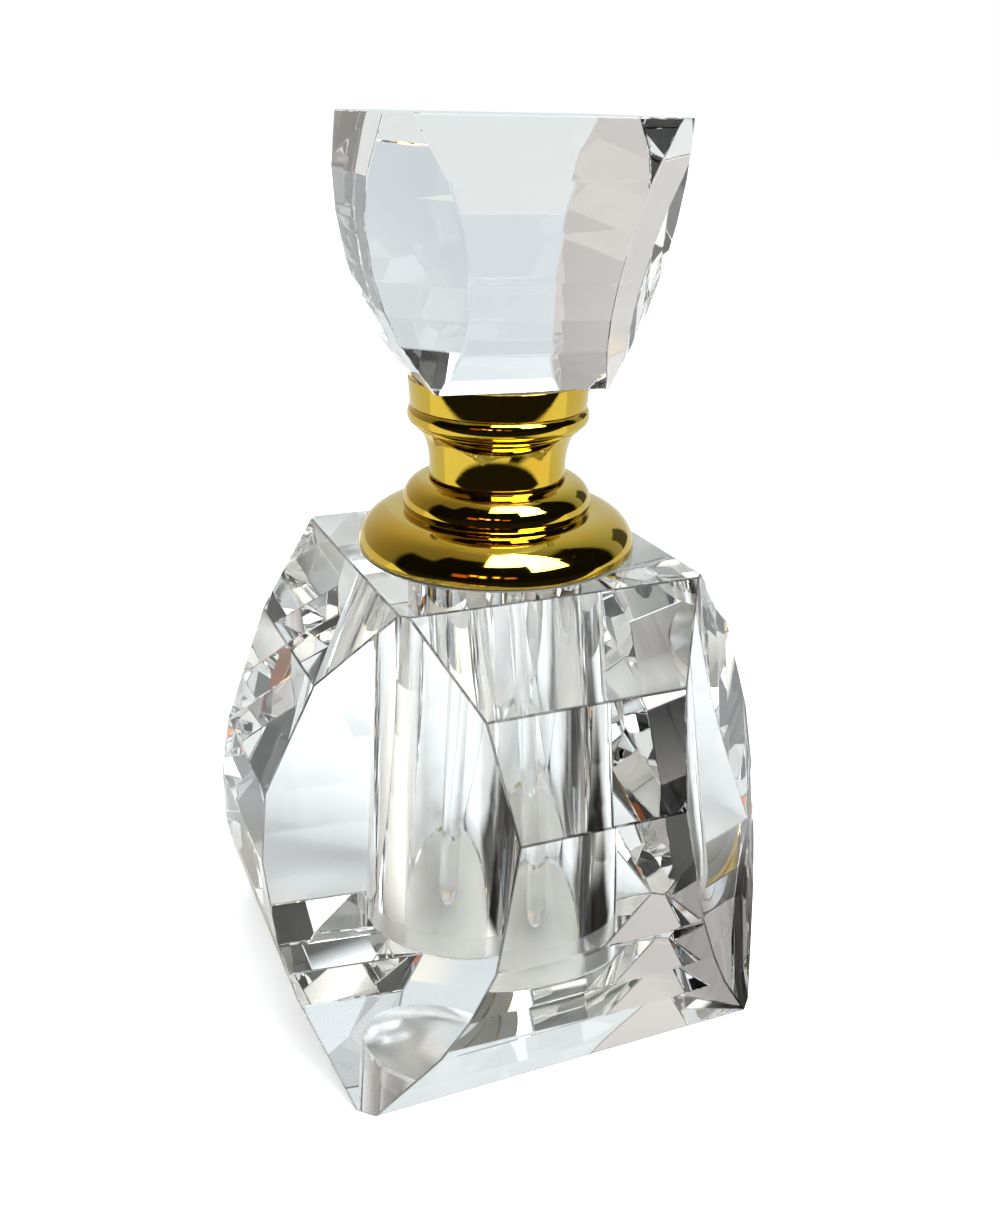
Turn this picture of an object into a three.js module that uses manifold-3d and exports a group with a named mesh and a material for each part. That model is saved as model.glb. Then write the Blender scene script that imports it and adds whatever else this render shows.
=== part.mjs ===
// A cut crystal perfume bottle with a gilt collar and a screw-on crystal stopper that carries a glass dabber.
// Millimetres, +Z up, origin at the centre of the base, the crystal's four sides square to X and Y.

import * as THREE from "three";
import { mergeVertices } from "three/addons/utils/BufferGeometryUtils.js";
import Module from "manifold-3d";

const wasm = await Module();
wasm.setup();

// ---------------------------------------------------------------- driving dimensions

// gilt collar and the threaded neck inside it
const COLLAR_FOOT_WIDTH = 2.7; // of the ring of adhesive under the collar
const COLLAR_RIM_CHAMFER = 0.3;
const LOWER_TIER_HEIGHT = 4.5;
const TIER_LEDGE = 0.57; // flat between the lower dome and the foot of the upper one
const UPPER_TIER_HEIGHT = 3.5;
const UPPER_TIER_ROLL = 2.8;
const UPPER_TIER_OVERHANG = 1.2; // from the bore for the neck out to where the upper dome begins
const NECK_BORE_RADIUS = 4.7;
const NECK_WALL = 1.1;
const NECK_HEIGHT = 14.7; // from the underside of its flange to its lip
const NECK_FLANGE_LAND = 2.2; // how far the neck's flange reaches out past the bottle's bore
const NECK_FLANGE_THICKNESS = 1.0;
const NECK_SPIGOT_DEPTH = 1.5; // how far the neck reaches down into the bottle's bore
const THREAD_DEPTH = 0.5;
const THREAD_PITCH = 2.0;
const THREAD_TURNS = 2.5;

// crystal bottle
const BODY_HEIGHT = 54;
const TOP_MARGIN = 1.6; // of the square top face around the collar
const BODY_WIDEST_HALF = 31;
const BODY_WIDEST_HEIGHT = 24;
const BODY_BASE_INSET = 6.1; // of the base inside the widest part
const BODY_TOP_CORNER_CUT = 0.8; // taken off x + y where a corner facet meets the top face
const BODY_BASE_CORNER_CUT = 1.6;
const FRONT_EDGE_SHARES = [0.16, 0.255, 0.365, 0.62, 0.835]; // of the edges between front and back strips
const SIDE_EDGE_SHARES = [0.2, 0.305, 0.465, 0.605, 0.84]; // the same on the left and right
const BORE_RADIUS = 10.1;
const BORE_FLOOR = 6.3; // height of the drill point in the middle of the floor
const BORE_POINT_DEPTH = 2.4; // from the foot of the bore's wall down to the drill point

// screw cap
const SEAL_WASHER_THICKNESS = 0.8;
const LINER_WALL = 0.35;
const LINER_ROOF = 0.8;
const CAP_WALL = 0.6;
const SKIRT_HEIGHT = 5.9;
const SKIRT_FLARE = 1.5; // how much wider the skirt is at its top than at its waist
const BEAD_PROUD = 2.4; // of the main bead, beyond the waist
const BEAD_HEIGHT = 2.0;
const BEAD_ROLL = 0.65; // depth of the bead's rounding
const CUP_PROUD = 2.3; // of the cup's band, beyond the waist
const CUP_FLOOR = 1.25; // under the recess, over the liner
const CUP_RECESS_DEPTH = 1.05;
const CUP_LIP = 0.65;

// stopper and dabber
const STOPPER_HEIGHT = 26.4;
const STOPPER_WIDEST_HALF = 16.2;
const STOPPER_TOP_INSET = 1.1; // of the top face inside the widest part
const STOPPER_WIDEST_SHARE = 0.72;
const STOPPER_BASE_INSET = 0.55; // of the stopper's square base inside the cup's radius
const STOPPER_TOP_CORNER_CUT = 2.2;
const STOPPER_BASE_CORNER_CUT = 0.4;
const STOPPER_EDGE_SHARES = [0.17, 0.3, 0.44, 0.62, 0.79];
const STOPPER_ANGLE = THREE.MathUtils.degToRad(-6.5); // where the screwed-down stopper comes to rest
const ROD_RADIUS = 2.1;
const ROD_TIP_CLEARANCE = 0.5; // above the drill point
const ROD_TOP_COVER = 0.3; // of adhesive over the rod's rounded top, inside the cup
const PLUG_LENGTH = 6.7;
const PLUG_RIBS = 3;

// fits
const FILM = 0.2; // adhesive and gasket films
const FACE_GAP = 0.05; // between faces that rest on each other
const ROUND_GAP = 0.1; // between a round piece and the round hole it is fixed in
const THREAD_CLEARANCE = 0.3;
const PLUG_CLEARANCE = 0.3;
const RIB_CLEARANCE = 0.15;
const ROD_CLEARANCE = 0.2;
const CAP_SEAT_GAP = 0.2;

const SEGMENTS = 40; // round every turned piece
const THREAD_STEPS_PER_TURN = 8;

// ---------------------------------------------------------------- sizes that follow

const neckFlangeRadius = BORE_RADIUS + NECK_FLANGE_LAND;
const collarPocketRadius = neckFlangeRadius + 4 * ROUND_GAP;
const collarFootRadius = collarPocketRadius + COLLAR_FOOT_WIDTH;
const collarRadius = collarFootRadius + COLLAR_RIM_CHAMFER;
const bodyTopHalf = collarRadius + TOP_MARGIN;
const seatHeight = BODY_HEIGHT + FILM + 2 * FACE_GAP;
const neckLip = seatHeight + NECK_HEIGHT;
const threadMinor = NECK_BORE_RADIUS + NECK_WALL;
const threadMajor = threadMinor + THREAD_DEPTH;
const collarBore = threadMajor + THREAD_CLEARANCE;
const collarTop = seatHeight + LOWER_TIER_HEIGHT + UPPER_TIER_HEIGHT;

const capBottom = collarTop + CAP_SEAT_GAP;
const linerInner = threadMajor + THREAD_CLEARANCE;
const linerOuter = linerInner + LINER_WALL;
const capInner = linerOuter + ROUND_GAP;
const waistRadius = capInner + CAP_WALL;
const skirtTop = capBottom + SKIRT_HEIGHT;
const washerBottom = neckLip + FACE_GAP * 2;
const linerRoofBottom = washerBottom + SEAL_WASHER_THICKNESS + THREAD_CLEARANCE;
const linerTop = linerRoofBottom + LINER_ROOF;
const cupBottom = skirtTop + FACE_GAP;
const recessFloor = linerTop + ROUND_GAP + CUP_FLOOR;
const cupTop = recessFloor + CUP_RECESS_DEPTH;
const cupRadius = waistRadius + CUP_PROUD;
const recessRadius = cupRadius - CUP_LIP;

const stopperBottom = cupTop + 3 * FACE_GAP;
const stopperBaseHalf = cupRadius - STOPPER_BASE_INSET;
const rodTop = stopperBottom - FACE_GAP - ROD_TOP_COVER;
const rodTip = BORE_FLOOR + ROD_TIP_CLEARANCE;
const rodHoleRadius = ROD_RADIUS + ROD_CLEARANCE;
const plugTop = linerRoofBottom - FACE_GAP;
const plugRadius = NECK_BORE_RADIUS - PLUG_CLEARANCE;

// ---------------------------------------------------------------- materials

function finish(color, roughness, metalness, opacity = 1) {
  return new THREE.MeshStandardMaterial({ color, roughness, metalness, opacity, transparent: opacity < 1 });
}

const crystal = finish(0xf2f6fa, 0.03, 0, 0.35);
const clearGlass = finish(0xeef4f4, 0.05, 0, 0.4);
const gold = finish(0xd9b04a, 0.15, 1);
const whitePlastic = finish(0xeeeeea, 0.45, 0);
const naturalPlastic = finish(0xe4e6e2, 0.4, 0);
const rubber = finish(0x8c8c88, 0.7, 0);
const adhesive = finish(0xf3efe2, 0.3, 0, 0.6);

// ---------------------------------------------------------------- shapes

function weld(geometry) {
  const bare = geometry.clone();
  bare.deleteAttribute("normal");
  bare.deleteAttribute("uv");
  return mergeVertices(bare, 1e-4);
}

// A solid of revolution about Z from a path of (radius, height) that goes up the outside.
function turned(path, curveDivisions = 5) {
  const geometry = new THREE.LatheGeometry(path.getPoints(curveDivisions), SEGMENTS);
  return geometry.rotateX(Math.PI / 2);
}

function pathThrough(points) {
  const path = new THREE.Path();
  path.moveTo(...points[0]);
  points.slice(1).forEach((point) => path.lineTo(...point));
  return path;
}

// A plain turned ring with a square section.
function ring(innerRadius, outerRadius, bottom, top) {
  return turned(pathThrough([
    [innerRadius, bottom],
    [outerRadius, bottom],
    [outerRadius, top],
    [innerRadius, top],
    [innerRadius, bottom],
  ]));
}

function toManifold(geometry) {
  const welded = weld(geometry);
  return new wasm.Manifold(new wasm.Mesh({
    numProp: 3,
    vertProperties: new Float32Array(welded.attributes.position.array),
    triVerts: new Uint32Array(welded.index.array),
  }));
}

function cutAway(geometry, tool) {
  const mesh = toManifold(geometry).subtract(toManifold(tool)).getMesh();
  const result = new THREE.BufferGeometry();
  result.setAttribute("position", new THREE.BufferAttribute(new Float32Array(mesh.vertProperties), 3));
  result.setIndex(new THREE.BufferAttribute(new Uint32Array(mesh.triVerts), 1));
  return result;
}

// The rise of a circular arc that is upright at `height` = 0 and has gone in by `inset` at `reach`.
function arcInset(height, reach, inset) {
  const radius = (reach * reach + inset * inset) / (2 * inset);
  return radius - Math.sqrt(radius * radius - height * height);
}

// A square block cut with flat strips that follow a bulging side, and a leaning flat facet down each corner.
// The strips' edges can lie at other heights on the front and back than on the left and right.
function cutBlock(block) {
  const { height, frontShares, sideShares, baseHalf, widestHalf, widestHeight, topHalf } = block;
  const bulge = (z) => z > widestHeight
    ? widestHalf - arcInset(z - widestHeight, height - widestHeight, widestHalf - topHalf)
    : widestHalf - arcInset(widestHeight - z, widestHeight, widestHalf - baseHalf);
  const edgesOf = (shares) => [0, ...shares.map((share) => share * height), height];
  // Half the width at z, along the flat strip between the two edges around it.
  const halfAt = (z, edges) => {
    const upper = Math.max(1, edges.findIndex((edge) => edge >= z));
    const [low, high] = [edges[upper - 1], edges[upper]];
    return THREE.MathUtils.mapLinear(z, low, high, bulge(low), bulge(high));
  };
  const [cornerLow, cornerHigh] = [2 * baseHalf - block.baseCorner, 2 * topHalf - block.topCorner];
  const cornerAt = (z) => THREE.MathUtils.lerp(cornerLow, cornerHigh, z / height);
  const [frontEdges, sideEdges] = [edgesOf(frontShares), edgesOf(sideShares)];
  const heights = [...new Set([...frontEdges, ...sideEdges])].sort((a, b) => a - b);

  const vertices = [];
  for (const z of heights) {
    const [x, y] = [halfAt(z, sideEdges), halfAt(z, frontEdges)];
    const shoulderY = Math.min(cornerAt(z) - x, y);
    const shoulderX = Math.min(cornerAt(z) - y, x);
    const octagon = [
      [x, -shoulderY], [x, shoulderY], [shoulderX, y], [-shoulderX, y],
      [-x, shoulderY], [-x, -shoulderY], [-shoulderX, -y], [shoulderX, -y],
    ];
    octagon.forEach((corner) => vertices.push(...corner, z));
  }

  const sides = 8;
  const triangles = [];
  for (let row = 0; row < heights.length - 1; row += 1) {
    for (let side = 0; side < sides; side += 1) {
      const a = row * sides + side;
      const b = row * sides + ((side + 1) % sides);
      triangles.push(a, b, b + sides, a, b + sides, a + sides);
    }
  }
  const top = (heights.length - 1) * sides;
  for (let side = 1; side < sides - 1; side += 1) {
    triangles.push(0, side + 1, side, top, top + side, top + side + 1);
  }

  const geometry = new THREE.BufferGeometry();
  geometry.setAttribute("position", new THREE.Float32BufferAttribute(vertices, 3));
  geometry.setIndex(triangles);
  return geometry;
}

// ---------------------------------------------------------------- bottle

function crystalBody() {
  const block = cutBlock({
    height: BODY_HEIGHT,
    frontShares: FRONT_EDGE_SHARES,
    sideShares: SIDE_EDGE_SHARES,
    baseHalf: BODY_WIDEST_HALF - BODY_BASE_INSET,
    widestHalf: BODY_WIDEST_HALF,
    widestHeight: BODY_WIDEST_HEIGHT,
    topHalf: bodyTopHalf,
    baseCorner: BODY_BASE_CORNER_CUT,
    topCorner: BODY_TOP_CORNER_CUT,
  });
  const drill = turned(pathThrough([
    [0, BORE_FLOOR],
    [BORE_RADIUS, BORE_FLOOR + BORE_POINT_DEPTH],
    [BORE_RADIUS, BODY_HEIGHT + 1],
    [0, BODY_HEIGHT + 1],
  ]));
  return cutAway(block, drill);
}

function neckGasket() {
  const bottom = BODY_HEIGHT + FACE_GAP;
  return ring(BORE_RADIUS + 2 * ROUND_GAP, neckFlangeRadius, bottom, bottom + FILM);
}

function collarGlue() {
  const bottom = BODY_HEIGHT + FACE_GAP;
  return ring(collarPocketRadius, collarFootRadius, bottom, bottom + FILM);
}

// Two stacked domes, hollowed underneath for the neck's flange and bored through for its thread.
function collar() {
  const lowerTop = seatHeight + LOWER_TIER_HEIGHT;
  const rimTop = seatHeight + COLLAR_RIM_CHAMFER;
  const upperStart = collarBore + UPPER_TIER_OVERHANG;
  const upperMiddle = lowerTop + UPPER_TIER_HEIGHT * 0.23;
  const upperFoot = upperStart + UPPER_TIER_ROLL * 0.94;
  const pocketTop = seatHeight + NECK_FLANGE_THICKNESS + THREAD_CLEARANCE;
  const path = new THREE.Path();
  path.moveTo(collarPocketRadius, pocketTop);
  path.lineTo(collarPocketRadius, seatHeight);
  path.lineTo(collarFootRadius, seatHeight);
  path.lineTo(collarRadius, rimTop);
  const rollStart = upperFoot + TIER_LEDGE;
  path.absellipse(rollStart, rimTop, collarRadius - rollStart, lowerTop - rimTop, 0, Math.PI / 2);
  path.lineTo(upperFoot, lowerTop);
  path.absellipse(upperStart, upperMiddle, UPPER_TIER_ROLL, collarTop - upperMiddle, -0.2, Math.PI / 2);
  path.lineTo(collarBore, collarTop);
  path.lineTo(collarBore, pocketTop);
  path.lineTo(collarPocketRadius, pocketTop);
  return turned(path, 10);
}

// The neck is turned with closely spaced rows, and its outside is then pushed out along the thread.
function neckInsert() {
  const spigotRadius = BORE_RADIUS - THREAD_CLEARANCE;
  const flangeTop = seatHeight + NECK_FLANGE_THICKNESS;
  const threadStart = neckLip - 0.6 - THREAD_TURNS * THREAD_PITCH;
  const step = THREAD_PITCH / THREAD_STEPS_PER_TURN;
  const rows = Array.from({ length: THREAD_TURNS * THREAD_STEPS_PER_TURN + 1 }, (_, row) => [
    threadMinor,
    threadStart + row * step,
  ]);
  const geometry = turned(pathThrough([
    [NECK_BORE_RADIUS, seatHeight - NECK_SPIGOT_DEPTH],
    [spigotRadius, seatHeight - NECK_SPIGOT_DEPTH],
    [spigotRadius, seatHeight],
    [neckFlangeRadius, seatHeight],
    [neckFlangeRadius, flangeTop],
    [threadMinor, flangeTop],
    ...rows,
    [threadMinor, neckLip],
    [NECK_BORE_RADIUS, neckLip],
    [NECK_BORE_RADIUS, seatHeight - NECK_SPIGOT_DEPTH],
  ]));
  const position = geometry.attributes.position;
  for (let i = 0; i < position.count; i += 1) {
    const [x, y, z] = [position.getX(i), position.getY(i), position.getZ(i)];
    const along = (z - threadStart) / THREAD_PITCH;
    const radius = Math.hypot(x, y);
    if (along < -1e-3 || along > THREAD_TURNS + 1e-3 || Math.abs(radius - threadMinor) > 1e-3) continue;
    const fade = Math.min(1, 4 * along, 4 * (THREAD_TURNS - along));
    const phase = along - Math.atan2(y, x) / (2 * Math.PI);
    const ridge = 1 - 2 * Math.abs(phase - Math.round(phase));
    const grown = 1 + (THREAD_DEPTH * Math.max(fade, 0) * ridge ** 2) / radius;
    position.setXY(i, x * grown, y * grown);
  }
  return geometry;
}

// ---------------------------------------------------------------- cap

function sealWasher() {
  const top = washerBottom + SEAL_WASHER_THICKNESS;
  return ring(NECK_BORE_RADIUS + ROUND_GAP, threadMajor - ROUND_GAP, washerBottom, top);
}

// The gold waist: upright at its foot and flaring out to a narrow step under the bead.
function capSkirt() {
  const flareTop = skirtTop - 0.4;
  const stepRadius = waistRadius + SKIRT_FLARE;
  const path = new THREE.Path();
  path.moveTo(capInner, capBottom);
  path.lineTo(waistRadius, capBottom);
  path.bezierCurveTo(
    waistRadius - 0.15, capBottom + SKIRT_HEIGHT * 0.35,
    waistRadius + 0.1, capBottom + SKIRT_HEIGHT * 0.7,
    stepRadius - 0.3, flareTop,
  );
  path.lineTo(stepRadius, flareTop);
  path.lineTo(stepRadius, skirtTop);
  path.lineTo(capInner, skirtTop);
  path.lineTo(capInner, capBottom);
  return turned(path, 10);
}

// The gold cup over the skirt: a rounded bead at its foot, a plain band, and a shallow recess for the glue.
function stopperCup() {
  const beadMiddle = cupBottom + BEAD_HEIGHT / 2;
  const beadCentre = waistRadius + BEAD_PROUD - BEAD_ROLL;
  const path = new THREE.Path();
  path.moveTo(capInner, cupBottom);
  path.lineTo(beadCentre, cupBottom);
  path.absellipse(beadCentre, beadMiddle, BEAD_ROLL, BEAD_HEIGHT / 2, -Math.PI / 2, Math.PI / 2);
  path.lineTo(cupRadius - 0.2, beadMiddle + BEAD_HEIGHT / 2);
  path.lineTo(cupRadius, cupTop);
  path.lineTo(recessRadius, cupTop);
  path.lineTo(recessRadius, recessFloor);
  path.lineTo(rodHoleRadius, recessFloor);
  path.lineTo(rodHoleRadius, linerTop + ROUND_GAP);
  path.lineTo(capInner, linerTop + ROUND_GAP);
  path.lineTo(capInner, cupBottom);
  return turned(path, 12);
}

function capLiner() {
  return turned(pathThrough([
    [rodHoleRadius, linerRoofBottom],
    [linerInner, linerRoofBottom],
    [linerInner, capBottom + THREAD_CLEARANCE],
    [linerOuter, capBottom + THREAD_CLEARANCE],
    [linerOuter, linerTop],
    [rodHoleRadius, linerTop],
    [rodHoleRadius, linerRoofBottom],
  ]));
}

// A soft plug that hangs under the liner's roof, holds the rod and wipes the neck's bore with round ribs.
function dabberPlug() {
  const bottom = plugTop - PLUG_LENGTH;
  const ribSpacing = (PLUG_LENGTH - 2.4) / PLUG_RIBS;
  const ribHalf = 0.3;
  const path = new THREE.Path();
  path.moveTo(rodHoleRadius, bottom);
  path.lineTo(plugRadius - 0.8, bottom);
  path.lineTo(plugRadius, bottom + 1.2);
  for (let rib = 0; rib < PLUG_RIBS; rib += 1) {
    const middle = bottom + 1.8 + rib * ribSpacing;
    path.lineTo(plugRadius, middle - ribHalf);
    path.lineTo(NECK_BORE_RADIUS - RIB_CLEARANCE, middle);
    path.lineTo(plugRadius, middle + ribHalf);
  }
  path.lineTo(plugRadius, plugTop);
  path.lineTo(rodHoleRadius, plugTop);
  path.lineTo(rodHoleRadius, bottom);
  return turned(path);
}

function stopperGlue() {
  return ring(
    rodHoleRadius + ROUND_GAP,
    recessRadius - ROUND_GAP * 2,
    recessFloor + FACE_GAP,
    stopperBottom - FACE_GAP,
  );
}

// ---------------------------------------------------------------- stopper and dabber

function stopperCrystal() {
  return cutBlock({
    height: STOPPER_HEIGHT,
    frontShares: STOPPER_EDGE_SHARES,
    sideShares: STOPPER_EDGE_SHARES,
    baseHalf: stopperBaseHalf,
    widestHalf: STOPPER_WIDEST_HALF,
    widestHeight: STOPPER_HEIGHT * STOPPER_WIDEST_SHARE,
    topHalf: STOPPER_WIDEST_HALF - STOPPER_TOP_INSET,
    baseCorner: STOPPER_BASE_CORNER_CUT,
    topCorner: STOPPER_TOP_CORNER_CUT,
  });
}

// The rod has half-round ends: the tip in the scent, and the top in the adhesive of the cup.
function dabberRod() {
  const path = new THREE.Path();
  path.absarc(0, rodTip + ROD_RADIUS, ROD_RADIUS, -Math.PI / 2, 0);
  path.absarc(0, rodTop - ROD_RADIUS, ROD_RADIUS, 0, Math.PI / 2);
  return turned(path, 12);
}

// ---------------------------------------------------------------- assembly

function piece(name, geometry, material, parent) {
  const mesh = new THREE.Mesh(geometry, material);
  mesh.name = name;
  parent.add(mesh);
  return mesh;
}

const group = new THREE.Group();

const bottle = new THREE.Group();
group.add(bottle);
piece("crystal_body", crystalBody(), crystal, bottle);
piece("neck_gasket", neckGasket(), rubber, bottle);
piece("collar_glue", collarGlue(), adhesive, bottle);
piece("neck_insert", neckInsert(), naturalPlastic, bottle);
piece("collar", collar(), gold, bottle);

piece("seal_washer", sealWasher(), rubber, group);

const cap = new THREE.Group();
group.add(cap);
piece("cap_liner", capLiner(), whitePlastic, cap);
piece("cap_skirt", capSkirt(), gold, cap);
piece("stopper_cup", stopperCup(), gold, cap);
piece("dabber_plug", dabberPlug(), whitePlastic, cap);
piece("stopper_glue", stopperGlue(), adhesive, cap);
piece("dabber_rod", dabberRod(), clearGlass, cap);

const stopper = piece("stopper_crystal", stopperCrystal(), crystal, cap);
stopper.position.z = stopperBottom;
stopper.rotation.z = STOPPER_ANGLE;

export default group;
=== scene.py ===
"""Looks for a cut crystal perfume bottle with a gilt collar and a crystal stopper on a glass dabber."""

import math

import bmesh
import bpy
from bpy.props import FloatProperty, FloatVectorProperty, IntProperty, PointerProperty
from mathutils import Matrix, Vector


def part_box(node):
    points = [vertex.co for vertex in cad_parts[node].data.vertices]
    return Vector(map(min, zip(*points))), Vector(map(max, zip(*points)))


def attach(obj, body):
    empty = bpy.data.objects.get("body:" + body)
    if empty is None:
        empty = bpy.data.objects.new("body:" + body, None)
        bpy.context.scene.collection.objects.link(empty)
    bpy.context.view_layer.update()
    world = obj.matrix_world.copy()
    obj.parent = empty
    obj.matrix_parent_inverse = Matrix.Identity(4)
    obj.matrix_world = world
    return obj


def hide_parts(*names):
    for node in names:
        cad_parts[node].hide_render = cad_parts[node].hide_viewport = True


bl_info = {
    "name": "Crystal Perfume Bottle",
    "version": (1, 0, 0),
    "blender": (4, 5, 0),
    "location": "View3D > Sidebar > Bottle",
    "description": "Builds the looks of a cut crystal perfume bottle around its packed parts",
    "category": "Object",
}

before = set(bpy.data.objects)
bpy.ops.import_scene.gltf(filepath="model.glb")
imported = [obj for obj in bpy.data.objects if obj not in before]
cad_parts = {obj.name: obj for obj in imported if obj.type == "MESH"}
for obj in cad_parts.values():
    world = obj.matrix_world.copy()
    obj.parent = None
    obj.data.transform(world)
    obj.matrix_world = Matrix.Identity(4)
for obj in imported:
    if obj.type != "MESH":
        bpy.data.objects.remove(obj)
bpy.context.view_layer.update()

MM = 0.001
NEAR = 1e-6

# Where the camera stands, and how far it is turned right, up and over, in radians.
VIEW_PLACE = Vector((-53.40, -124.88, 100.89)) * MM
VIEW_HEADING = 0.409
VIEW_PITCH = -0.387
VIEW_ROLL = 0.022

# Cutting and turning.
BLOCK_MARGIN = 1.1  # of the raw block over the finished one
BORE_FILLET = 0.35 * MM
FLAT_TURN = math.radians(5)  # a face turned further than this from every flat lies along a keen edge
SHARP_TURN = math.radians(25)  # corners of a turned part that are rounded over
SHADE_TURN = math.radians(24)
BORE_SHADE_TURN = math.radians(20)
STRAIGHT_TURN = math.radians(0.2)
SAME_DIRECTION = 1 - 2e-6  # cosine between the directions of faces of one flat
SMALLEST_FLAT = 1e-9
ON_FLAT = 5e-6
CUT_GAP = 1e-7
CUT_EDGE_SEGMENTS = 2
TURNED_EDGE_SEGMENTS = 4

# The floor, in millimetres from the bottle's axis, along and across the view. Each pair is where a change
# begins and where it ends. The changes are painted light and shade that only crystal and gold see: painted
# shade in front and to the right, a painted pool of light just behind, and a dimmer painted level further
# behind.
FLOOR_RADIUS = 3000
FLOOR_DROP = 0.2
PAINTED_SHADE_FRONT_EDGE = (-65, -95)
PAINTED_BACK_EDGE = (16, 30)
PAINTED_POOL_FAR_EDGE = (80, 130)
PAINTED_POOL_LEFT_EDGE = (-90, -60)
PAINTED_POOL_RIGHT_EDGE = (20, 40)
PAINTED_SHADE_LEFT_EDGE = (24, 30)
PAINTED_SHADE_RIGHT_EDGE = (45, 75)

# The room, in degrees. A bearing is 0 on the view's own side of the bottle and grows to the right. Each patch
# has a left and a right bearing, a low and a high rise above the horizon, and the softness of its edges.
UNLIT_SIDE = ((-88, 112, -6, 40, 4), (-60, 112, 40, 60, 4))
UNLIT_CORNER = (128, 146, -12, 23, 1)
WINDOW_PANES = ((-10, 70, 46, 82, 1), (32, 66, 27, 46, 1))
LEFT_WALL = (-165, 0, -90, 90, 1)
BESIDE_BEARINGS = (85, 175)
CEILING_RISES = (50, 85)
LAMPS = (
    ((-34, -22, 9, 17, 1.5), (0.9, 0.22, 0.04)),
    ((-20, -14, 14, 19, 1.5), (3.0, 1.6, 0.3)),
    ((-12, -7, 12, 17, 1.5), (5.0, 3.6, 1.2)),
    ((-1, 4, 13, 17, 1.5), (4.5, 2.6, 0.6)),
    ((8, 17, 11, 14, 1.5), (1.6, 0.5, 0.12)),
)
BEHIND_LEVEL = 0.8  # of the wall behind the bottle
BESIDE_DROP = 0.52  # how much darker the walls beside it are
CEILING_GAIN = 0.15
UNLIT_LEVEL = 0.008
CORNER_SHARE = 0.85
WINDOW_THROUGH_CRYSTAL = 2
WINDOW_GAIN = 7  # where the window lights something that isn't crystal
WINDOW_GAIN_IN_GOLD = 9
LEFT_LIGHT = (0.93, 0.89, 0.86, 1)
RIGHT_LIGHT = (0.93, 1.0, 1.03, 1)
CRYSTAL_BOUNCES = 32
GOLD_BOUNCES = 16
WHITE = (1, 1, 1, 1)
BLACK = (0, 0, 0, 1)


# ---------------------------------------------------------------- settings


class CrystalSettings(bpy.types.PropertyGroup):
    """Sizes and colours of the cut crystal and the clear rod."""

    # Painted shade: the dark line along the bottle's cut edges.
    edge_line_painted_shade: FloatVectorProperty(
        name="Edge tint",
        description="Colour of the painted dark line along the bottle's cut edges",
        default=(0.16, 0.155, 0.15),
        size=3,
        min=0,
        max=1,
        subtype="COLOR",
    )
    edge_width: FloatProperty(
        name="Edge width",
        description="Width of the rounding along every cut edge; on the bottle it carries the painted dark line",
        default=0.15 * MM,
        min=0,
        subtype="DISTANCE",
        unit="LENGTH",
    )
    refraction: FloatProperty(
        name="Refraction",
        description="Refractive index of the crystal",
        default=1.55,
        min=1,
        max=2,
    )
    tint: FloatVectorProperty(
        name="Crystal tint",
        description="Colour of light that has crossed the crystal",
        default=(0.995, 0.998, 1.0),
        size=3,
        min=0,
        max=1,
        subtype="COLOR",
    )
    waviness: FloatProperty(
        name="Waviness",
        description="How far the polished flats are from dead flat",
        default=0.02,
        min=0,
        max=1,
    )
    frost_top: FloatProperty(
        name="Ground zone height",
        description="How high above the base the bore's wall is left ground and unpolished",
        default=11.7 * MM,
        subtype="DISTANCE",
        unit="LENGTH",
    )
    frost_roughness: FloatProperty(
        name="Ground roughness",
        description="Roughness of the ground foot of the bore",
        default=0.16,
        min=0,
        max=1,
        subtype="FACTOR",
    )


class GiltSettings(bpy.types.PropertyGroup):
    """Sizes and colours of the gold-plated pieces."""

    tint: FloatVectorProperty(
        name="Gold",
        description="Colour of the plating",
        default=(0.62, 0.44, 0.055),
        size=3,
        min=0,
        max=1,
        subtype="COLOR",
    )
    roughness: FloatProperty(
        name="Polish",
        description="Roughness of the plating",
        default=0.05,
        min=0,
        max=1,
        subtype="FACTOR",
    )
    edge_width: FloatProperty(
        name="Edge width",
        description="Width of the rounding on every turned edge",
        default=0.1 * MM,
        subtype="DISTANCE",
        unit="LENGTH",
    )


class FittingSettings(bpy.types.PropertyGroup):
    """Colours of the plastic, rubber and adhesive pieces."""

    plastic: FloatVectorProperty(
        name="Plastic",
        description="Colour of the moulded liner and neck",
        default=(0.80, 0.80, 0.77),
        size=3,
        min=0,
        max=1,
        subtype="COLOR",
    )
    rubber: FloatVectorProperty(
        name="Rubber",
        description="Colour of the gasket and the washer",
        default=(0.32, 0.31, 0.29),
        size=3,
        min=0,
        max=1,
        subtype="COLOR",
    )
    turning_steps: IntProperty(
        name="Turning steps",
        description="Flats round every turned piece",
        default=128,
        min=16,
        max=256,
    )


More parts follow.
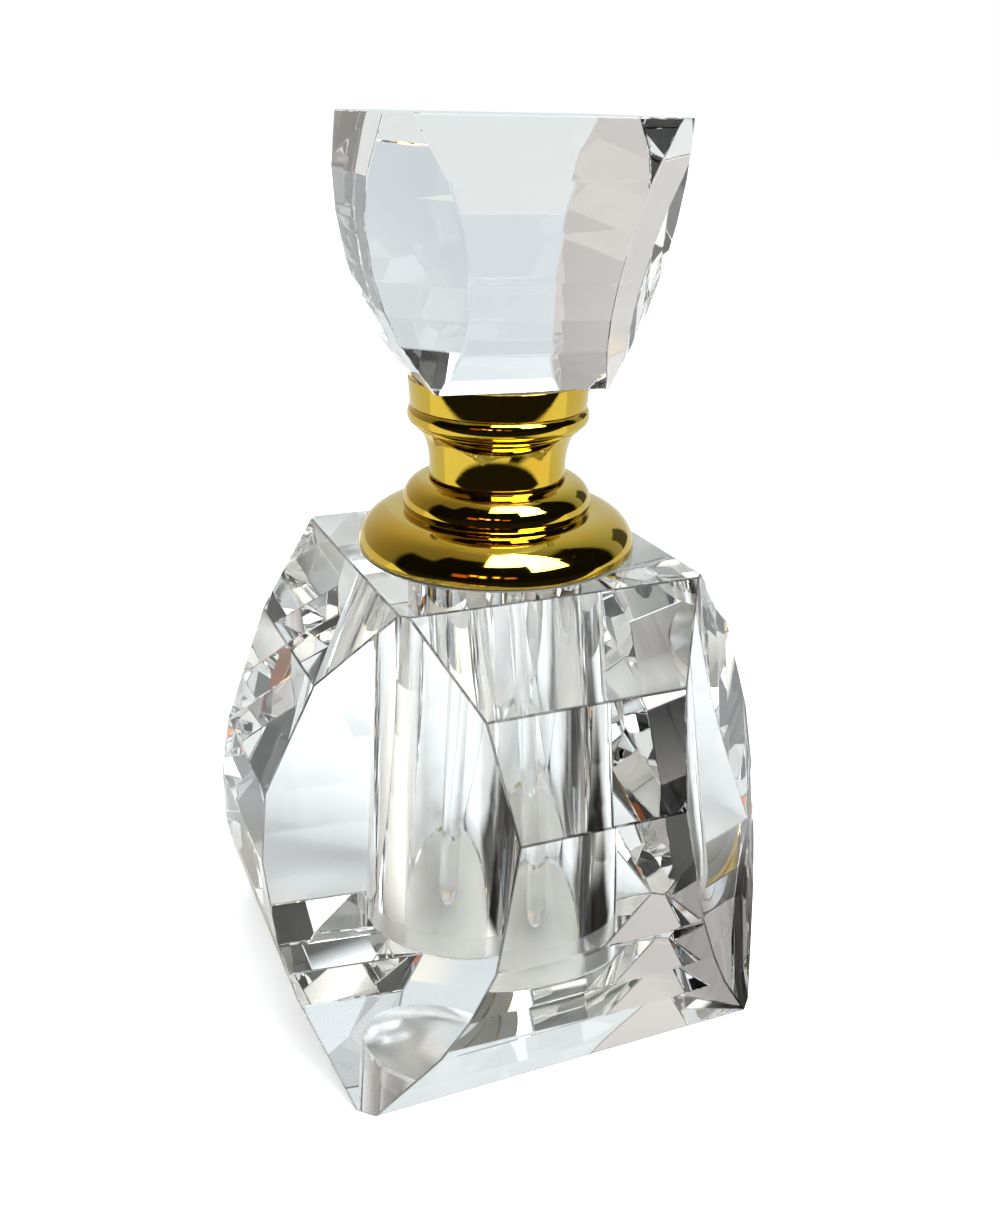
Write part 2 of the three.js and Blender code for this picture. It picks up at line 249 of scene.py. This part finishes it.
class StageSettings(bpy.types.PropertyGroup):
    """The studio around the bottle."""

    # The pale floor is plain where it's seen directly; the other tints are what crystal and gold see of it,
    # with painted light and shade in fields behind, in front and to the right of the bottle.

    floor_tint: FloatVectorProperty(
        name="Floor, through crystal",
        description="Colour of the floor where it is seen through the crystal and in the gold",
        default=(0.86, 0.82, 0.75),
        size=3,
        min=0,
        max=1,
        subtype="COLOR",
    )
    # Painted shade: the floor in front of the bottle and to its right, as crystal and gold see it.
    floor_front_painted_shade: FloatVectorProperty(
        name="Floor's painted shade",
        description="Colour of the painted shade on the floor in front of the bottle and to its right",
        default=(0.012, 0.011, 0.01),
        size=3,
        min=0,
        max=1,
        subtype="COLOR",
    )
    # Painted light: a dimmer level on the floor further behind the bottle, as crystal and gold see it.
    floor_back_painted_light: FloatVectorProperty(
        name="Floor's painted light behind",
        description="Colour of the dimmer painted light on the floor further behind the bottle",
        default=(0.60, 0.595, 0.58),
        size=3,
        min=0,
        max=1,
        subtype="COLOR",
    )
    # Painted light: a bright pool on the floor just behind the bottle, as crystal and gold see it.
    floor_painted_light_pool: FloatVectorProperty(
        name="Floor's painted pool of light",
        description="Colour of the painted pool of light on the floor just behind the bottle",
        default=(0.95, 0.95, 0.94),
        size=3,
        min=0,
        max=1,
        subtype="COLOR",
    )
    floor_direct_tint: FloatVectorProperty(
        name="Floor, lit",
        description="Colour of the floor where it is seen past the bottle",
        default=(0.95, 0.95, 0.95),
        size=3,
        min=0,
        max=1,
        subtype="COLOR",
    )
    floor_glow: FloatProperty(
        name="Floor glow",
        description="Light added where the floor is seen past the bottle, which softens the bottle's shadow",
        default=0.35,
        min=0,
    )
    room_light: FloatProperty(
        name="Room light",
        description="Brightness of the walls, the ceiling, the window and the lamps",
        default=1.0,
        min=0,
    )
    lens: FloatProperty(
        name="Lens",
        description="Focal length of the camera, in millimetres",
        default=36.74,
        min=1,
        subtype="DISTANCE_CAMERA",
        unit="CAMERA",
    )


# ---------------------------------------------------------------- mesh work


def cad_mesh(name):
    """A merged copy of a packed part's mesh."""
    bm = bmesh.new()
    bm.from_mesh(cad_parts[name].data)
    bmesh.ops.remove_doubles(bm, verts=bm.verts, dist=NEAR)
    return bm


def finished_piece(name, bm, material, body, slot, *replaced):
    """Makes the object of a new piece, which rides on a body and stands for packed parts."""
    mesh = bpy.data.meshes.new(name)
    bm.to_mesh(mesh)
    bm.free()
    piece = bpy.data.objects.new(name, mesh)
    bpy.context.scene.collection.objects.link(piece)
    mesh.materials.append(material)
    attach(piece, body)
    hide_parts(*replaced)
    return piece


def crease(bm, angle):
    """Keeps an edge sharp in smooth shading wherever two faces meet at more than the angle."""
    for edge in bm.edges:
        edge.smooth = edge.is_manifold and edge.calc_face_angle(0) < angle


def sharp_edges(bm, angle):
    """The edges where two faces meet at more than the angle."""
    return [edge for edge in bm.edges if edge.is_manifold and edge.calc_face_angle(0) > angle]


def round_over(bm, edges, width, segments):
    """Rounds edges over by a width."""
    bmesh.ops.bevel(
        bm,
        geom=edges,
        offset=width,
        offset_type="OFFSET",
        segments=segments,
        profile=0.5,
        affect="EDGES",
        clamp_overlap=True,
        material=-1,
    )


def turned_profile(name):
    """The outline of a round part on the right of its axis, as a chain of edges in the XZ plane."""
    bm = cad_mesh(name)
    geom = bm.verts[:] + bm.edges[:] + bm.faces[:]
    bmesh.ops.bisect_plane(
        bm, geom=geom, dist=NEAR, plane_co=(0, 0, 0), plane_no=(0, 1, 0), clear_inner=True, clear_outer=True
    )
    geom = bm.verts[:] + bm.edges[:] + bm.faces[:]
    bmesh.ops.bisect_plane(bm, geom=geom, dist=NEAR, plane_co=(0, 0, 0), plane_no=(1, 0, 0), clear_inner=True)
    bmesh.ops.delete(bm, geom=bm.faces[:], context="FACES_ONLY")
    stray = [edge for edge in bm.edges if all(abs(v.co.x) < NEAR for v in edge.verts)]
    bmesh.ops.delete(bm, geom=stray, context="EDGES")
    loose = [v for v in bm.verts if not v.link_edges]
    bmesh.ops.delete(bm, geom=loose, context="VERTS")
    straight = [v for v in bm.verts if len(v.link_edges) == 2 and edge_turn(v) < STRAIGHT_TURN]
    bmesh.ops.dissolve_verts(bm, verts=straight)
    return bm


def edge_turn(vert):
    """How far a chain of edges turns at a vertex."""
    first, second = (edge.other_vert(vert).co - vert.co for edge in vert.link_edges)
    return math.pi - first.angle(second)


def spun(bm, steps):
    """Spins a chain of edges in the XZ plane into a closed round shape."""
    bmesh.ops.spin(
        bm,
        geom=bm.verts[:] + bm.edges[:],
        cent=(0, 0, 0),
        axis=(0, 0, 1),
        angle=2 * math.pi,
        steps=steps,
        use_merge=True,
        use_duplicate=False,
    )
    bmesh.ops.remove_doubles(bm, verts=bm.verts, dist=NEAR)
    bmesh.ops.recalc_face_normals(bm, faces=bm.faces)
    return bm


def turned_copy(name, steps, edge_width):
    """A finely turned copy of a round part, with its corners rounded over."""
    bm = spun(turned_profile(name), steps)
    if edge_width:
        round_over(bm, sharp_edges(bm, SHARP_TURN), edge_width, TURNED_EDGE_SEGMENTS)
    for face in bm.faces:
        face.smooth = True
    crease(bm, SHADE_TURN)
    return bm


def facet_planes(bm):
    """One (point, normal) for each flat that bounds a convex cut block; hollows inside it have none."""
    points = [v.co.copy() for v in bm.verts]
    planes = []
    for face in sorted(bm.faces, key=lambda face: -face.calc_area()):
        point, normal = face.calc_center_median(), face.normal.copy()
        known = any(normal.dot(other) > SAME_DIRECTION for _, other in planes)
        if known or face.calc_area() < SMALLEST_FLAT:
            continue
        if all((other - point).dot(normal) < ON_FLAT for other in points):
            planes.append((point, normal))
    return planes


def cut_block(planes, lowest, highest, edge_width):
    """A block ground flat on each plane in turn, with every edge polished round."""
    bm = bmesh.new()
    bmesh.ops.create_cube(bm, size=1)
    bmesh.ops.scale(bm, vec=(highest - lowest) * BLOCK_MARGIN, verts=bm.verts)
    bmesh.ops.translate(bm, vec=(lowest + highest) / 2, verts=bm.verts)
    for point, normal in planes:
        geom = bm.verts[:] + bm.edges[:] + bm.faces[:]
        bmesh.ops.bisect_plane(
            bm, geom=geom, dist=CUT_GAP, plane_co=point, plane_no=normal, clear_outer=True, clear_inner=False
        )
        rim = [edge for edge in bm.edges if edge.is_boundary]
        bmesh.ops.holes_fill(bm, edges=rim, sides=0)
    bmesh.ops.remove_doubles(bm, verts=bm.verts, dist=NEAR)
    bmesh.ops.recalc_face_normals(bm, faces=bm.faces)
    round_over(bm, bm.edges[:], edge_width, CUT_EDGE_SEGMENTS)
    return bm


def mark_edges(bm, planes, bore_radius):
    """Gives the second material, the painted dark edge line, to the outer faces along the keen edges, far
    from every flat's direction.
    """
    for face in bm.faces:
        centre = face.calc_center_median()
        flat = any(face.normal.angle(normal) < FLAT_TURN for _, normal in planes)
        face.material_index = 0 if flat or math.hypot(centre.x, centre.y) < bore_radius else 1


def bored(block, borer):
    """Takes a turned cutter out of a block and gives the result as new mesh work."""
    objects = []
    for name, bm in (("block", block), ("borer", borer)):
        mesh = bpy.data.meshes.new(name)
        bm.to_mesh(mesh)
        bm.free()
        objects.append(bpy.data.objects.new(name, mesh))
        bpy.context.scene.collection.objects.link(objects[-1])
    solid, cutter = objects
    modifier = solid.modifiers.new("bore", "BOOLEAN")
    modifier.operation = "DIFFERENCE"
    modifier.solver = "EXACT"
    modifier.object = cutter
    bpy.context.view_layer.update()
    evaluated = solid.evaluated_get(bpy.context.evaluated_depsgraph_get())
    bm = bmesh.new()
    bm.from_mesh(evaluated.to_mesh())
    evaluated.to_mesh_clear()
    for scratch in objects:
        mesh = scratch.data
        bpy.data.objects.remove(scratch)
        bpy.data.meshes.remove(mesh)
    return bm


def spun_cutter(outline, steps):
    """A closed round cutter from (radius, height) points that start and end on the axis."""
    bm = bmesh.new()
    verts = [bm.verts.new((radius, 0, height)) for radius, height in outline]
    for start, end in zip(verts, verts[1:]):
        bm.edges.new((start, end))
    return spun(bm, steps)


# ---------------------------------------------------------------- shader work


class Wire:
    """A socket of a material's nodes, with which sums can be written."""

    def __init__(self, tree, socket):
        self.tree = tree
        self.socket = socket

    def __add__(self, other):
        return self.tree.maths("ADD", self, other)

    __radd__ = __add__

    def __mul__(self, other):
        return self.tree.maths("MULTIPLY", self, other)

    __rmul__ = __mul__

    def __sub__(self, other):
        return self.tree.maths("SUBTRACT", self, other)

    def __rsub__(self, other):
        return self.tree.maths("SUBTRACT", other, self)

    def __pow__(self, other):
        return self.tree.maths("POWER", self, other)


class NodeWork:
    """The nodes of a material or a world, all made by one method."""

    def __init__(self, owner):
        owner.use_nodes = True
        self.nodes = owner.node_tree.nodes
        self.links = owner.node_tree.links
        self.nodes.clear()

    def node(self, kind, settings=None, output=0, **sockets):
        """Makes a node: its settings first, then the values or links of its sockets, named or numbered."""
        node = self.nodes.new(kind)
        for key, value in (settings or {}).items():
            setattr(node, key, value)
        for key, value in sockets.items():
            self.feed(node.inputs[int(key[1:]) if key[1:].isdigit() else key.replace("_", " ")], value)
        return None if output is None else Wire(self, node.outputs[output])

    def feed(self, socket, value):
        """Links a wire to a socket, or sets the socket's value."""
        if isinstance(value, Wire):
            self.links.new(value.socket, socket)
        else:
            socket.default_value = value

    def maths(self, operation, first, second=0.0):
        return self.node("ShaderNodeMath", {"operation": operation}, _0=first, _1=second)

    def step(self, value, start, end):
        """0 at start and 1 at end, smoothly."""
        settings = {"interpolation_type": "SMOOTHSTEP"}
        return self.node("ShaderNodeMapRange", settings, Value=value, **{"From_Min": start, "From_Max": end})

    def place(self):
        """Where a point is on its object."""
        return self.node("ShaderNodeTexCoord", output=3)

    def split(self, vector):
        """The three parts of a vector."""
        first = self.node("ShaderNodeSeparateXYZ", Vector=vector)
        return tuple(Wire(self, output) for output in first.socket.node.outputs)

    def noise(self, place, scale, detail=2.0, roughness=0.5):
        return self.node("ShaderNodeTexNoise", Vector=place, Scale=scale, Detail=detail, Roughness=roughness)

    def blend(self, factor, first, second):
        """A mix of two colours."""
        return self.node("ShaderNodeMix", {"data_type": "RGBA"}, output=2, _0=factor, _6=first, _7=second)

    def bump(self, height, strength, distance):
        return self.node("ShaderNodeBump", Height=height, Strength=strength, Distance=distance)


class Finish(NodeWork):
    """A material's nodes, which end in a Principled BSDF or a mix of them."""

    def __init__(self, name):
        self.material = bpy.data.materials.new(name)
        super().__init__(self.material)

    def principled(self, **sockets):
        return self.node("ShaderNodeBsdfPrincipled", **sockets)

    def done(self, shader=None, **sockets):
        """Ends the material in a shader, or in a Principled BSDF with these sockets."""
        self.node("ShaderNodeOutputMaterial", output=None, Surface=shader or self.principled(**sockets))
        return self.material


def colour(tint, share=1.0):
    """A socket's colour from a tint, made paler or darker by a share."""
    return (*(min(1, part * share) for part in tint), 1)


def crystal_finish(name, settings, bore_radius=None):
    """Polished crystal, left ground and milky in the foot of its bore if it has one."""
    finish = Finish(name)
    place = finish.place()
    roughness = 0.0
    height = finish.noise(place, 60, 1) * settings.waviness
    if bore_radius:
        x, y, z = finish.split(place)
        radius = (x * x + y * y) ** 0.5
        inside = 1 - finish.step(radius, bore_radius + 0.15 * MM, bore_radius + 0.3 * MM)
        low = 1 - finish.step(z, settings.frost_top - 0.25 * MM, settings.frost_top + 0.05 * MM)
        above = finish.step(z, 1 * MM, 2 * MM)
        ground = inside * low * above
        grain = finish.noise(place, 9000, 3, 0.7)
        roughness = ground * (settings.frost_roughness - 0.04 + grain * 0.08)
        height = height + ground * grain * 0.015
    clear = finish.principled(
        **{
            "Base Color": colour(settings.tint),
            "Roughness": roughness,
            "IOR": settings.refraction,
            "Transmission Weight": 1.0,
            "Normal": finish.bump(height, 1.0, 0.05 * MM),
        }
    )
    if not bore_radius:
        return finish.done(clear)
    powdered = finish.principled(**{"Base Color": (0.9, 0.88, 0.83, 1), "Roughness": 0.9, "IOR": 1.5})
    milky = ground * (0.1 + grain * 0.1)
    return finish.done(finish.node("ShaderNodeMixShader", _0=milky, _1=clear, _2=powdered))


def edge_finish(settings):
    """Painted shade: a dark, clear line along every cut edge, darker in noisy patches."""
    finish = Finish("painted_dark_edge_line")
    edge_line_noise = finish.noise(finish.place(), 500, 2)
    return finish.done(
        **{
            "Base Color": finish.blend(edge_line_noise, colour(settings.edge_line_painted_shade), colour(settings.edge_line_painted_shade, 0.6)),
            "Roughness": 0.0,
            "IOR": settings.refraction,
            "Transmission Weight": 1.0,
            "Normal": finish.bump(edge_line_noise, 0.2, 0.02 * MM),
        }
    )


def rod_finish(settings):
    """Clear glass with the faint long streaks of drawing."""
    finish = Finish("drawn_rod_glass")
    place = finish.place()
    x, y, z = finish.split(place)
    streak = finish.node("ShaderNodeCombineXYZ", X=x, Y=y, Z=z * 0.04)
    drawn = finish.noise(streak, 700, 2)
    return finish.done(
        **{
            "Base Color": colour(settings.tint),
            "Roughness": 0.005 + drawn * 0.01,
            "IOR": 1.5,
            "Transmission Weight": 1.0,
            "Normal": finish.bump(drawn, 0.25, 0.02 * MM),
        }
    )


def gilt_finish(settings):
    """Bright gold plating over turned brass: faint lathe rings, and duller specks here and there."""
    finish = Finish("gilt_plating")
    place = finish.place()
    x, y, z = finish.split(place)
    radius = (x * x + y * y) ** 0.5
    rings = finish.node("ShaderNodeCombineXYZ", X=radius, Y=z)
    lathe = finish.noise(rings, 2600, 2)
    mottle = finish.noise(place, 220, 3)
    specks = finish.step(finish.noise(place, 2100, 1), 0.68, 0.76)
    warm = [part * factor for part, factor in zip(settings.tint, (1.04, 0.93, 0.72))]
    plated = finish.blend(finish.step(mottle, 0.35, 0.7), colour(settings.tint), colour(warm))
    return finish.done(
        **{
            "Base Color": plated,
            "Metallic": 1.0,
            "Roughness": settings.roughness * 0.6 + mottle * settings.roughness * 0.8 + specks * 0.1,
            "Normal": finish.bump(lathe + mottle * 2, 0.12, 0.02 * MM),
        }
    )


def plastic_finish(name, tint, roughness):
    """Moulded plastic with a fine orange-peel skin."""
    finish = Finish(name)
    place = finish.place()
    skin = finish.noise(place, 1600, 2)
    cloud = finish.noise(place, 180, 2)
    return finish.done(
        **{
            "Base Color": finish.blend(cloud, colour(tint), colour(tint, 0.93)),
            "Roughness": roughness - 0.06 + skin * 0.12,
            "IOR": 1.49,
            "Normal": finish.bump(skin, 0.3, 0.02 * MM),
        }
    )


def rubber_finish(tint):
    """Soft grey rubber with a fine grain and a little dust."""
    finish = Finish("soft_rubber")
    place = finish.place()
    grain = finish.noise(place, 3500, 3, 0.6)
    dust = finish.noise(place, 400, 2)
    return finish.done(
        **{
            "Base Color": finish.blend(finish.step(dust, 0.4, 0.8), colour(tint), colour(tint, 1.25)),
            "Roughness": 0.62 + grain * 0.2,
            "Normal": finish.bump(grain, 0.4, 0.03 * MM),
        }
    )


def adhesive_finish():
    """Cement that set a little cloudy, with a slightly uneven surface."""
    finish = Finish("clear_cement")
    place = finish.place()
    flow = finish.noise(place, 500, 2)
    return finish.done(
        **{
            "Base Color": finish.blend(flow, (0.62, 0.60, 0.56, 1), (0.56, 0.54, 0.50, 1)),
            "Roughness": 0.25 + flow * 0.2,
            "IOR": 1.5,
            "Transmission Weight": 0.3,
            "Normal": finish.bump(flow, 0.3, 0.03 * MM),
        }
    )


# ---------------------------------------------------------------- operators


class BOTTLE_OT_crystal_body(bpy.types.Operator):
    """Cut the crystal bottle on its flats, polish its edges and bore its hollow."""

    bl_idname = "bottle.crystal_body"
    bl_label = "Crystal body"

    def execute(self, context):
        settings = context.scene.bottle_crystal
        packed = cad_mesh("crystal_body")
        lowest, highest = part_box("crystal_body")
        planes = facet_planes(packed)
        inner = [v.co for v in packed.verts if lowest.z + NEAR < v.co.z < highest.z - NEAR]
        walls = [co for co in inner if math.hypot(co.x, co.y) < 0.5 * highest.x]
        radius = max(math.hypot(co.x, co.y) for co in walls)
        point = min(co.z for co in walls)
        foot = min(co.z for co in walls if math.hypot(co.x, co.y) > radius - NEAR)
        packed.free()
        block = cut_block(planes, lowest, highest, settings.edge_width)
        above = highest.z + 2 * MM
        slope = (foot - point) / radius
        outline = (
            (0, point),
            (radius - BORE_FILLET, foot - BORE_FILLET * slope),
            (radius, foot + BORE_FILLET),
            (radius, above),
            (0, above),
        )
        bm = bored(block, spun_cutter(outline, context.scene.bottle_fittings.turning_steps))
        for face in bm.faces:
            centre = face.calc_center_median()
            inside = math.hypot(centre.x, centre.y) < radius
            face.smooth = inside and lowest.z + NEAR < centre.z < highest.z - NEAR
        crease(bm, BORE_SHADE_TURN)
        mark_edges(bm, planes, radius)
        material = crystal_finish("ground_crystal", settings, radius)
        body = finished_piece("crystal_body_cut", bm, material, "bottle", "crystal", "crystal_body")
        body.data.materials.append(edge_finish(settings))
        return {"FINISHED"}


class BOTTLE_OT_stopper(bpy.types.Operator):
    """Cut the solid crystal stopper on its flats and polish its edges."""

    bl_idname = "bottle.stopper"
    bl_label = "Crystal stopper"

    def execute(self, context):
        settings = context.scene.bottle_crystal
        packed = cad_mesh("stopper_crystal")
        lowest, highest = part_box("stopper_crystal")
        planes = facet_planes(packed)
        packed.free()
        bm = cut_block(planes, lowest, highest, settings.edge_width)
        material = crystal_finish("polished_crystal", settings)
        finished_piece("stopper_crystal_cut", bm, material, "cap", "crystal", "stopper_crystal")
        return {"FINISHED"}


class BOTTLE_OT_dabber(bpy.types.Operator):
    """Draw the glass rod that carries scent from the bottle."""

    bl_idname = "bottle.dabber"
    bl_label = "Glass dabber"

    def execute(self, context):
        settings = context.scene.bottle_crystal
        rod = turned_copy("dabber_rod", 64, 0)
        finished_piece("dabber_rod_drawn", rod, rod_finish(settings), "cap", "rod_glass", "dabber_rod")
        return {"FINISHED"}


class BOTTLE_OT_gilt(bpy.types.Operator):
    """Turn the collar, the skirt and the cup, and plate them with gold."""

    bl_idname = "bottle.gilt"
    bl_label = "Gilt collar and cap"

    def execute(self, context):
        settings = context.scene.bottle_gilt
        steps = context.scene.bottle_fittings.turning_steps
        gilt = gilt_finish(settings)
        for node, body in (("collar", "bottle"), ("cap_skirt", "cap"), ("stopper_cup", "cap")):
            bm = turned_copy(node, steps, settings.edge_width)
            finished_piece(node + "_turned", bm, gilt, body, "gilt_metal", node)
        return {"FINISHED"}


class BOTTLE_OT_fittings(bpy.types.Operator):
    """Mould the neck, the liner and the plug, and lay the washer, the gasket and the cement."""

    bl_idname = "bottle.fittings"
    bl_label = "Neck, liner and seals"

    def execute(self, context):
        settings = context.scene.bottle_fittings
        natural = plastic_finish("natural_plastic", settings.plastic, 0.35)
        white = plastic_finish("white_plastic", settings.plastic, 0.3)
        soft = plastic_finish("soft_plastic", settings.plastic, 0.45)
        rubber = rubber_finish(settings.rubber)
        cement = adhesive_finish()
        turned = (
            ("cap_liner", "cap", "liner_plastic", white, 0.05 * MM),
            ("dabber_plug", "cap", "plug_plastic", soft, 0.1 * MM),
            ("seal_washer", "washer", "gasket_rubber", rubber, 0.1 * MM),
            ("neck_gasket", "bottle", "gasket_rubber", rubber, 0.03 * MM),
            ("collar_glue", "bottle", "adhesive", cement, 0.03 * MM),
            ("stopper_glue", "cap", "adhesive", cement, 0.1 * MM),
        )
        for node, body, slot, material, edge_width in turned:
            bm = turned_copy(node, settings.turning_steps // 2, edge_width)
            finished_piece(node + "_turned", bm, material, body, slot, node)
        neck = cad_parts["neck_insert"]
        neck.data.materials.clear()
        neck.data.materials.append(natural)
        return {"FINISHED"}


class BOTTLE_OT_stage(bpy.types.Operator):
    """Lay the floor, hang the lights and set up the camera."""

    bl_idname = "bottle.stage"
    bl_label = "Studio"

    def execute(self, context):
        settings = context.scene.bottle_stage
        self.floor(settings)
        self.room(settings)
        self.camera(context, settings)
        view = context.scene.view_settings
        view.view_transform = "Standard"
        view.look = "None"
        cycles = context.scene.cycles
        cycles.max_bounces = CRYSTAL_BOUNCES
        cycles.transmission_bounces = CRYSTAL_BOUNCES
        cycles.transparent_max_bounces = CRYSTAL_BOUNCES
        cycles.glossy_bounces = GOLD_BOUNCES
        return {"FINISHED"}

    def floor(self, settings):
        """A plain pale floor where it's seen directly; crystal and gold see it with painted light and shade.
        """
        bm = bmesh.new()
        bmesh.ops.create_circle(bm, cap_ends=True, segments=96, radius=FLOOR_RADIUS * MM)
        bmesh.ops.translate(bm, vec=(0, 0, -FLOOR_DROP * MM), verts=bm.verts)
        mesh = bpy.data.meshes.new("studio_floor")
        bm.to_mesh(mesh)
        bm.free()
        finish = Finish("pale_floor")
        place = finish.place()
        grain = finish.noise(place, 35, 3)
        beneath = finish.blend(grain, colour(settings.floor_tint), colour(settings.floor_tint, 0.97))
        east, north, _ = finish.split(place)
        across = east * math.cos(VIEW_HEADING) - north * math.sin(VIEW_HEADING)
        away = east * math.sin(VIEW_HEADING) + north * math.cos(VIEW_HEADING)

        def past(distance, edge):
            """0 before an edge of the floor's fields and 1 beyond it."""
            return finish.step(distance, edge[0] * MM, edge[1] * MM)

        # Painted shade: crystal and gold see the floor in front of the bottle nearly black.
        front = past(away, PAINTED_SHADE_FRONT_EDGE)
        beneath = finish.blend(front, beneath, colour(settings.floor_front_painted_shade))
        # A dimmer painted level of light on the floor further behind the bottle.
        behind = past(away, PAINTED_BACK_EDGE)
        beneath = finish.blend(behind, beneath, colour(settings.floor_back_painted_light))
        # A painted pool of light on the floor just behind the bottle.
        pool = behind * (1 - past(away, PAINTED_POOL_FAR_EDGE)) * past(across, PAINTED_POOL_LEFT_EDGE)
        pool = pool * (1 - past(across, PAINTED_POOL_RIGHT_EDGE))
        beneath = finish.blend(pool, beneath, colour(settings.floor_painted_light_pool))
        # Painted shade on the floor to the right of the bottle, in the same dark colour as in front.
        shade = past(across, PAINTED_SHADE_LEFT_EDGE) * (1 - past(across, PAINTED_SHADE_RIGHT_EDGE)) * (1 - behind)
        beneath = finish.blend(shade * (1 - front), beneath, colour(settings.floor_front_painted_shade))
        direct = finish.node("ShaderNodeLightPath", output=0)
        mesh.materials.append(
            finish.done(
                **{
                    "Base Color": finish.blend(direct, beneath, colour(settings.floor_direct_tint)),
                    "Roughness": 0.8,
                    "Specular IOR Level": 0.0,
                    "Emission Color": finish.blend(direct, BLACK, WHITE),
                    "Emission Strength": settings.floor_glow,
                }
            )
        )
        finish.material.cycles.emission_sampling = "NONE"
        floor = bpy.data.objects.new("studio_floor", mesh)
        bpy.context.scene.collection.objects.link(floor)

    def room(self, settings):
        """Pale walls, an unlit side of the room to the front with a big window in it, and a few far lamps."""
        world = bpy.data.worlds.new("studio")
        bpy.context.scene.world = world
        room = NodeWork(world)
        east, north, height = room.split(room.node("ShaderNodeTexCoord", output=0))
        across, towards = (
            east * math.cos(VIEW_HEADING) - north * math.sin(VIEW_HEADING),
            east * -math.sin(VIEW_HEADING) - north * math.cos(VIEW_HEADING),
        )
        bearing = room.maths("ARCTAN2", across, towards) * (180 / math.pi)
        rise = room.maths("ARCSINE", height) * (180 / math.pi)

        def patch(left, right, low, high, soft):
            """1 between two bearings and two heights, in degrees."""
            return (
                room.step(bearing, left - soft, left + soft)
                * (1 - room.step(bearing, right - soft, right + soft))
                * room.step(rise, low - soft, low + soft)
                * (1 - room.step(rise, high - soft, high + soft))
            )

        def patches(rows):
            return sum(patch(*row) for row in rows)

        def scaled(tint, level):
            return room.node("ShaderNodeVectorMath", {"operation": "SCALE"}, Vector=tint, Scale=level)

        beside = 1 - room.step(room.maths("ABSOLUTE", bearing), *BESIDE_BEARINGS)
        walls = BEHIND_LEVEL - BESIDE_DROP * beside + CEILING_GAIN * room.step(rise, *CEILING_RISES)
        unlit = patches(UNLIT_SIDE) + patch(*UNLIT_CORNER) * CORNER_SHARE
        level = walls * (1 - unlit) + unlit * UNLIT_LEVEL
        window = patches(WINDOW_PANES)
        mirrored = room.node("ShaderNodeLightPath", output=3)
        through_crystal = room.node("ShaderNodeLightPath", output=4)
        gain = WINDOW_GAIN + WINDOW_GAIN_IN_GOLD * mirrored
        level = level * (1 - window) + window * (WINDOW_THROUGH_CRYSTAL + (1 - through_crystal) * gain)
        colours = scaled(room.blend(patch(*LEFT_WALL), RIGHT_LIGHT, LEFT_LIGHT), level)
        for spread, lamp in LAMPS:
            spot = scaled(lamp, patch(*spread))
            colours = room.node("ShaderNodeVectorMath", {"operation": "ADD"}, _0=colours, _1=spot)
        seen = room.node("ShaderNodeLightPath", output=0)
        shown = room.blend(seen, colours, WHITE)
        background = room.node("ShaderNodeBackground", Color=shown, Strength=settings.room_light)
        room.node("ShaderNodeOutputWorld", output=None, Surface=background)

    def camera(self, context, settings):
        """A camera a little above the bottle and to its left, which looks down at it."""
        flat = math.cos(VIEW_PITCH)
        forward = Vector((math.sin(VIEW_HEADING) * flat, math.cos(VIEW_HEADING) * flat, math.sin(VIEW_PITCH)))
        level = Vector((math.cos(VIEW_HEADING), -math.sin(VIEW_HEADING), 0))
        upright = level.cross(forward)
        right = level * math.cos(VIEW_ROLL) + upright * math.sin(VIEW_ROLL)
        up = upright * math.cos(VIEW_ROLL) - level * math.sin(VIEW_ROLL)
        data = bpy.data.cameras.new("view")
        data.lens = settings.lens
        data.clip_start = 0.01
        camera = bpy.data.objects.new("view", data)
        bpy.context.scene.collection.objects.link(camera)
        turn = Matrix((right, up, -forward)).transposed().to_4x4()
        camera.matrix_world = Matrix.Translation(VIEW_PLACE) @ turn
        context.scene.camera = camera


class BOTTLE_PT_panel(bpy.types.Panel):
    """Buttons and sizes for the perfume bottle."""

    bl_idname = "BOTTLE_PT_panel"
    bl_label = "Perfume bottle"
    bl_space_type = "VIEW_3D"
    bl_region_type = "UI"
    bl_category = "Bottle"

    def draw(self, context):
        layout = self.layout
        for operator in OPERATORS:
            layout.operator(operator.bl_idname)
        for name, group in SETTINGS.items():
            box = layout.box()
            box.label(text=group.__doc__)
            for key in group.__annotations__:
                box.prop(getattr(context.scene, name), key)


OPERATORS = (
    BOTTLE_OT_crystal_body,
    BOTTLE_OT_stopper,
    BOTTLE_OT_dabber,
    BOTTLE_OT_gilt,
    BOTTLE_OT_fittings,
    BOTTLE_OT_stage,
)
SETTINGS = {
    "bottle_crystal": CrystalSettings,
    "bottle_gilt": GiltSettings,
    "bottle_fittings": FittingSettings,
    "bottle_stage": StageSettings,
}
CLASSES = (*SETTINGS.values(), *OPERATORS, BOTTLE_PT_panel)


def register():
    for cls in CLASSES:
        bpy.utils.register_class(cls)
    for name, group in SETTINGS.items():
        setattr(bpy.types.Scene, name, PointerProperty(type=group))


def unregister():
    for name in SETTINGS:
        delattr(bpy.types.Scene, name)
    for cls in reversed(CLASSES):
        bpy.utils.unregister_class(cls)


def main():
    register()
    bpy.ops.bottle.crystal_body()
    bpy.ops.bottle.stopper()
    bpy.ops.bottle.dabber()
    bpy.ops.bottle.gilt()
    bpy.ops.bottle.fittings()
    bpy.ops.bottle.stage()


if __name__ == "__main__":
    main()
